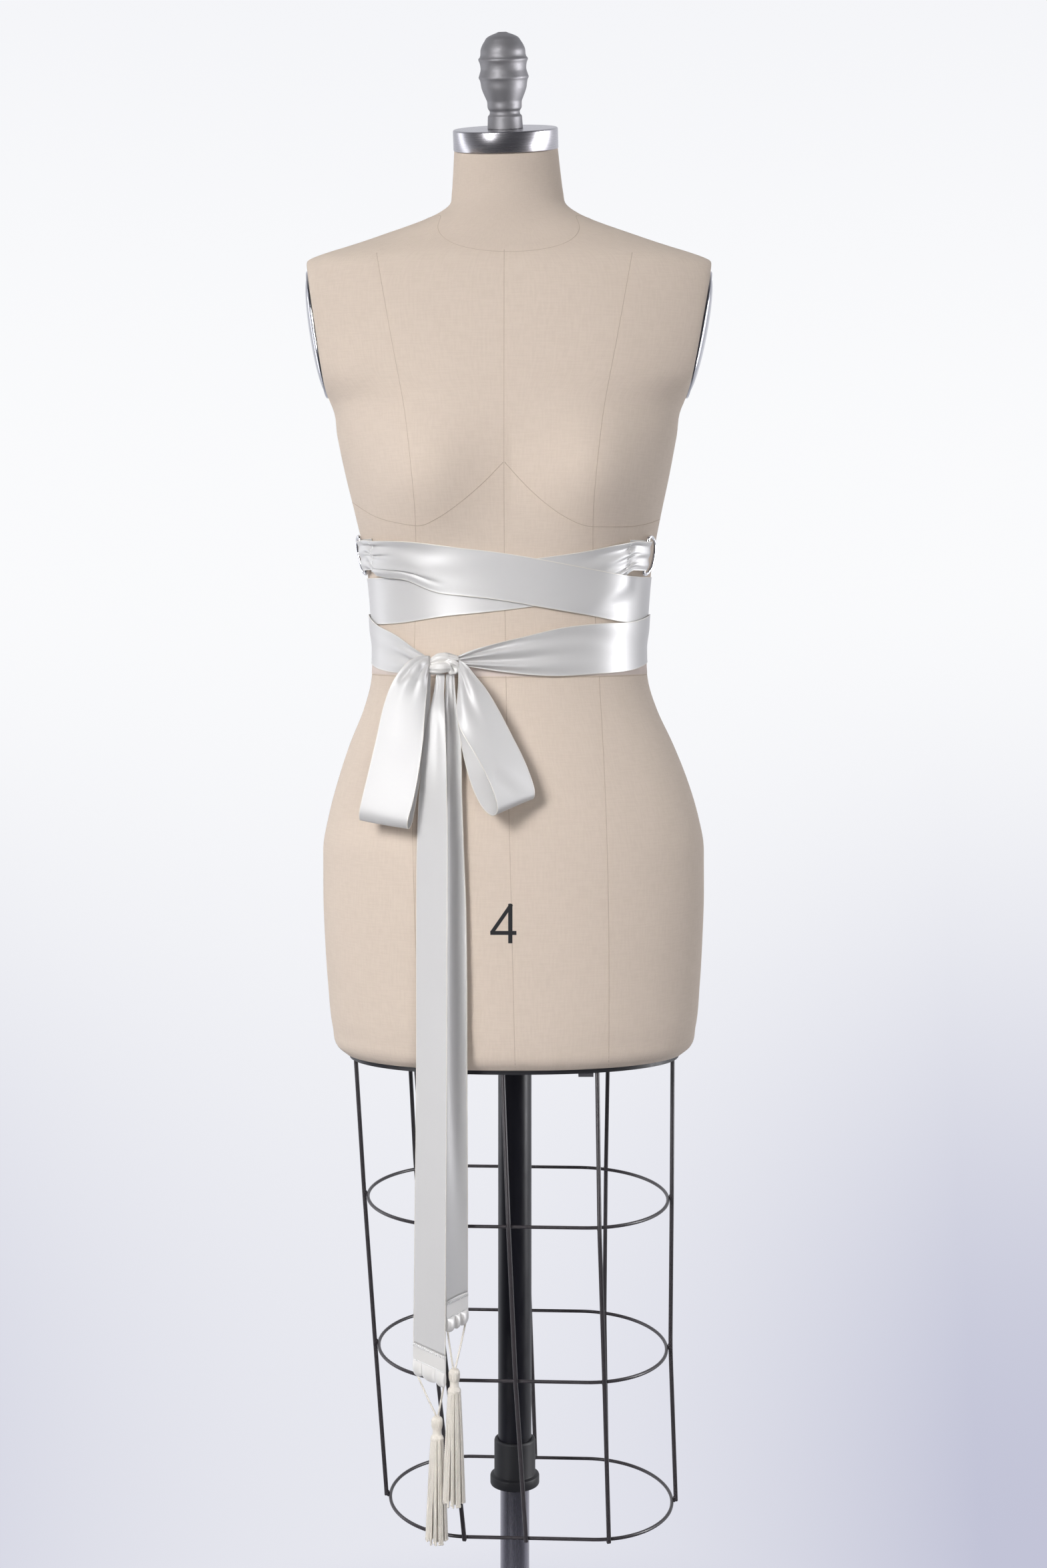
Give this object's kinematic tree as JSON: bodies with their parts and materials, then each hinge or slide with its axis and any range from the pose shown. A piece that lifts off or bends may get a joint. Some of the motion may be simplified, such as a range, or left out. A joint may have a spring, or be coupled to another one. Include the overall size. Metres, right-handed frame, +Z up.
{
  "type": "satin sash on a dress form",
  "caption": "Satin ribbon sash wound round the waist of a linen dress form, tied in a bow with long tasselled tails; the form slides on a pole stand.",
  "frame": {"origin": "middle of the base's underside, on the axis of the pole", "axes": "+Z up along the pole, the front of the form faces -Y, +X is to the viewer's right when looking at the front"},
  "size_m": [0.42, 0.42, 1.6061],
  "materials": {
    "satin": "ivory white double-face satin",
    "linen": "natural linen canvas",
    "brushed_steel": "brushed",
    "chrome": "polished",
    "grey_casting": "dark grey metallic lacquer",
    "black_metal": "black semi-gloss",
    "rayon": "twisted rayon thread"
  },
  "bodies": {
    "stand": {"base": "black_metal", "pole": "brushed_steel"},
    "form": {"tube": "black_metal", "collar": "black_metal", "form_body": "linen", "bottom_board": "black_metal", "board_catch": "brushed_steel", "arm_plate_left": "chrome", "arm_plate_right": "chrome", "neck_cap": "brushed_steel", "finial": "grey_casting", "cage_hoop_top": "black_metal", "cage_hoop_middle": "black_metal", "cage_hoop_bottom": "black_metal", "cage_strut_front": "black_metal", "cage_strut_front_right": "black_metal", "cage_strut_right": "black_metal", "cage_strut_back_right": "black_metal", "cage_strut_back": "black_metal", "cage_strut_back_left": "black_metal", "cage_strut_left": "black_metal", "cage_strut_front_left": "black_metal", "sash_a_front": "satin", "sash_a_back": "satin", "sash_a_waist": "satin", "sash_b_front": "satin", "sash_b_back": "satin", "sash_b_waist": "satin", "sash_end_left": "satin", "sash_end_right": "satin", "metal_loop_left": "chrome", "metal_loop_right": "chrome", "knot": "satin", "loop_left": "satin", "loop_right": "satin", "tail_front": "satin", "tail_rear": "satin", "hem_front": "satin", "hem_rear": "satin", "cord_front_left": "rayon", "cord_front_right": "rayon", "cord_rear_left": "rayon", "cord_rear_right": "rayon", "tassel_front": "rayon", "tassel_rear": "rayon"}
  },
  "joints": [
    {"name": "height", "type": "slide", "parent": "stand", "child": "form", "axis": [0, 0, 1], "range_m": [-0.12, 0.15]}
  ]
}
